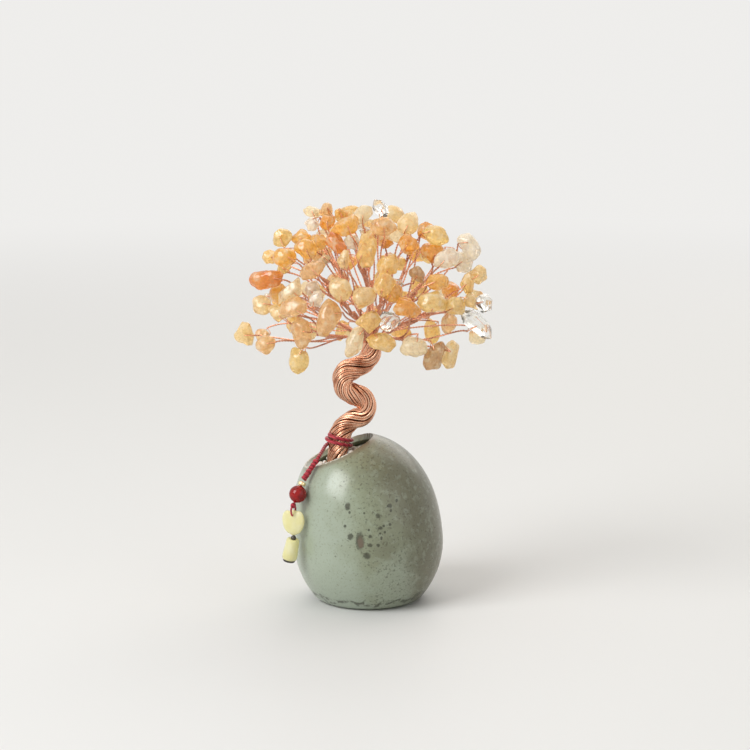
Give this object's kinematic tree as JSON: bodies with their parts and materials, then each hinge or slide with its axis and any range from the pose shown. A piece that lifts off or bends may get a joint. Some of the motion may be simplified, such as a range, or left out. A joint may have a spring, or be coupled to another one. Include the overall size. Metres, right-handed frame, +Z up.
{
  "type": "gemstone tree ornament",
  "caption": "Table ornament: a wire tree with tumbled citrine chips on its twigs, set in a leaning egg-shaped glazed pot, with a beaded cord tassel over the rim.",
  "frame": {"origin": "middle of the pot's flat base, on the table", "axes": "+Z up along the tree's height, the front with the tassel's side on the left faces -Y"},
  "size_m": [0.0837, 0.0711, 0.1344],
  "materials": {
    "celadon_glaze": "glossy speckled glaze",
    "plaster": "matt",
    "white_gravel": "matt",
    "copper_wire": "bright drawn wire",
    "citrine": "tumbled and polished, translucent",
    "red_cord": "braided cord",
    "red_agate": "polished",
    "gilt_bead": "polished",
    "pale_jade": "polished, translucent",
    "dark_bead": "polished"
  },
  "bodies": {
    "tree_and_pot": {"back_left_high_stones": "citrine", "back_left_high_wires": "copper_wire", "back_left_low_stones": "citrine", "back_left_low_wires": "copper_wire", "back_middle_high_stones": "citrine", "back_middle_high_wires": "copper_wire", "back_middle_low_stones": "citrine", "back_middle_low_wires": "copper_wire", "back_right_high_stones": "citrine", "back_right_high_wires": "copper_wire", "back_right_low_stones": "citrine", "back_right_low_wires": "copper_wire", "front_low_stones": "citrine", "front_low_wires": "copper_wire", "front_right_stones": "citrine", "front_right_wires": "copper_wire", "front_stones": "citrine", "front_wires": "copper_wire", "gravel": "white_gravel", "left_stones": "citrine", "left_wires": "copper_wire", "low_left_stones": "citrine", "low_left_wires": "copper_wire", "low_right_stones": "citrine", "low_right_wires": "copper_wire", "middle_left_stones": "citrine", "middle_left_wires": "copper_wire", "plaster_fill": "plaster", "pot": "celadon_glaze", "right_stones": "citrine", "right_wires": "copper_wire", "tie_cord": "red_cord", "top_right_stones": "citrine", "top_right_wires": "copper_wire", "top_stones": "citrine", "top_wires": "copper_wire", "trunk_core": "copper_wire", "trunk_strands": "copper_wire", "upper_left_stones": "citrine", "upper_left_wires": "copper_wire", "upper_right_stones": "citrine", "upper_right_wires": "copper_wire"},
    "tassel": {"knotted_cord": "red_cord", "drop_cord": "red_cord", "stop_knot": "red_cord"},
    "spacer_bead": {"spacer_bead": "gilt_bead"},
    "red_bead": {"red_bead": "red_agate"},
    "upper_charm": {"upper_charm": "pale_jade", "link_bead": "dark_bead"},
    "lower_charm": {"lower_charm": "pale_jade", "end_band": "dark_bead"}
  },
  "joints": [
    {"name": "tassel_lift", "type": "hinge", "parent": "tree_and_pot", "child": "tassel", "pos_m": [-0.0173, -0.01081, 0.0493], "axis": [-0.5299, 0.848, 0], "range_deg": [0, 80]},
    {"name": "spacer_spin", "type": "hinge", "parent": "tassel", "child": "spacer_bead", "pos_m": [-0.02188, -0.01367, 0.04228], "axis": [-0.3718, -0.2323, -0.8988], "continuous": true},
    {"name": "bead_spin", "type": "hinge", "parent": "tassel", "child": "red_bead", "pos_m": [-0.02324, -0.01452, 0.039], "axis": [-0.3718, -0.2323, -0.8988], "continuous": true},
    {"name": "upper_charm_swing", "type": "hinge", "parent": "tassel", "child": "upper_charm", "pos_m": [-0.02474, -0.01546, 0.03196], "axis": [-0.342, -0.9397, 0], "range_deg": [-40, 5]},
    {"name": "lower_charm_swing", "type": "hinge", "parent": "upper_charm", "child": "lower_charm", "pos_m": [-0.02474, -0.01546, 0.02438], "axis": [-0.342, -0.9397, 0], "range_deg": [-18, 14]}
  ]
}
